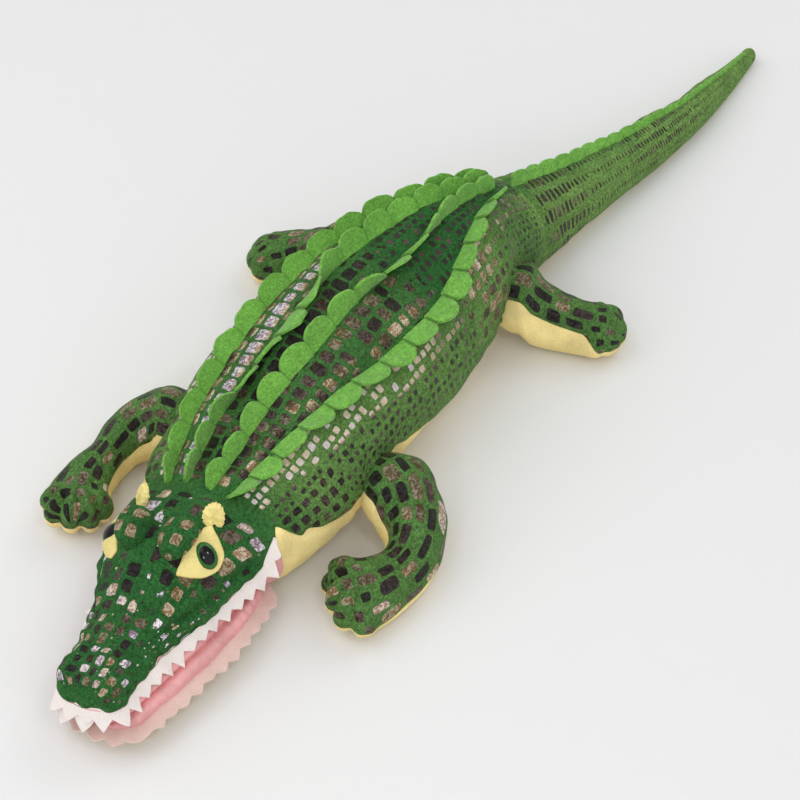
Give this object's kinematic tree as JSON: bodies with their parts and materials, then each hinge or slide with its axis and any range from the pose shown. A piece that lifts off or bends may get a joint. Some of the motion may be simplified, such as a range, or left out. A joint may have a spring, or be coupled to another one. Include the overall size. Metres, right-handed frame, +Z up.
{
  "type": "plush crocodile",
  "caption": "Stuffed plush crocodile lying on its belly, mouth part open, with curled legs, felt back frills, a tapering tail and zigzag felt teeth.",
  "frame": {"origin": "on the flat of the belly where it lies on the floor, under the middle of the trunk", "axes": "+X towards the snout, +Y to the crocodile's left, +Z up"},
  "size_m": [0.9944, 0.3294, 0.1548],
  "materials": {
    "green_plush": "short pile",
    "yellow_plush": "short pile",
    "cream_plush": "short pile",
    "pink_plush": "short pile",
    "green_felt": "matte",
    "white_felt": "matte",
    "fibrefill": "matte",
    "black_plastic": "gloss",
    "white_plastic": "matte"
  },
  "bodies": {
    "body": {"body_back": "green_plush", "belly_panel": "yellow_plush", "body_stuffing": "fibrefill", "frill_inner_left": "green_felt", "frill_outer_left": "green_felt", "frill_inner_right": "green_felt", "frill_outer_right": "green_felt"},
    "head": {"head_skin": "green_plush", "throat_panel": "yellow_plush", "palate_lining": "pink_plush", "head_stuffing": "fibrefill", "upper_teeth_left": "white_felt", "upper_teeth_right": "white_felt", "fangs": "white_felt", "eye_left": "black_plastic", "eye_right": "black_plastic", "eye_washer_left": "white_plastic", "eye_washer_right": "white_plastic", "eye_patch_left": "cream_plush", "eye_patch_right": "cream_plush", "brow_left": "green_plush", "brow_right": "green_plush", "ear_left": "cream_plush", "ear_right": "cream_plush"},
    "jaw": {"jaw_skin": "yellow_plush", "jaw_lining": "pink_plush", "jaw_stuffing": "fibrefill", "lower_teeth_left": "white_felt", "lower_teeth_right": "white_felt"},
    "tail_front": {"tail_front_skin": "green_plush", "tail_front_panel": "yellow_plush", "tail_front_stuffing": "fibrefill", "crest_front": "green_felt"},
    "tail_rear": {"tail_rear_skin": "green_plush", "tail_rear_panel": "yellow_plush", "tail_rear_stuffing": "fibrefill", "crest_rear": "green_felt"},
    "front_left_leg": {"front_left_leg_skin": "green_plush", "front_left_sole": "yellow_plush", "front_left_leg_stuffing": "fibrefill"},
    "front_right_leg": {"front_right_leg_skin": "green_plush", "front_right_sole": "yellow_plush", "front_right_leg_stuffing": "fibrefill"},
    "hind_left_leg": {"hind_left_leg_skin": "green_plush", "hind_left_sole": "yellow_plush", "hind_left_leg_stuffing": "fibrefill"},
    "hind_right_leg": {"hind_right_leg_skin": "green_plush", "hind_right_sole": "yellow_plush", "hind_right_leg_stuffing": "fibrefill"}
  },
  "joints": [
    {"name": "neck_turn", "type": "hinge", "parent": "body", "child": "head", "pos_m": [0.19452, 0.01164, 0.046], "axis": [0, 0, 1], "range_deg": [-15, 15], "stiffness_Nm_per_rad": 0.8},
    {"name": "mouth_open", "type": "hinge", "parent": "head", "child": "jaw", "pos_m": [0.22046, 0.01374, 0.01687], "axis": [-0.121, 0.9851, 0.1219], "range_deg": [0, 6], "stiffness_Nm_per_rad": 0.6},
    {"name": "tail_root_bend", "type": "hinge", "parent": "body", "child": "tail_front", "pos_m": [-0.21861, 0.02173, 0.03823], "axis": [0, 0, 1], "range_deg": [-18, 18], "stiffness_Nm_per_rad": 0.8},
    {"name": "tail_mid_bend", "type": "hinge", "parent": "tail_front", "child": "tail_rear", "pos_m": [-0.38946, 0.05961, 0.01966], "axis": [0, 0, 1], "range_deg": [-18, 18], "stiffness_Nm_per_rad": 0.5},
    {"name": "front_left_leg_swing", "type": "hinge", "parent": "body", "child": "front_left_leg", "pos_m": [0.08253, 0.10492, 0.044], "axis": [0, 0, 1], "range_deg": [-12, 12], "stiffness_Nm_per_rad": 0.5},
    {"name": "front_right_leg_swing", "type": "hinge", "parent": "body", "child": "front_right_leg", "pos_m": [0.12308, -0.09057, 0.044], "axis": [0, 0, 1], "range_deg": [-12, 12], "stiffness_Nm_per_rad": 0.5},
    {"name": "hind_left_leg_swing", "type": "hinge", "parent": "body", "child": "hind_left_leg", "pos_m": [-0.16032, 0.07633, 0.045], "axis": [0, 0, 1], "range_deg": [-12, 12], "stiffness_Nm_per_rad": 0.5},
    {"name": "hind_right_leg_swing", "type": "hinge", "parent": "body", "child": "hind_right_leg", "pos_m": [-0.11281, -0.09205, 0.045], "axis": [0, 0, 1], "range_deg": [-12, 12], "stiffness_Nm_per_rad": 0.5}
  ]
}
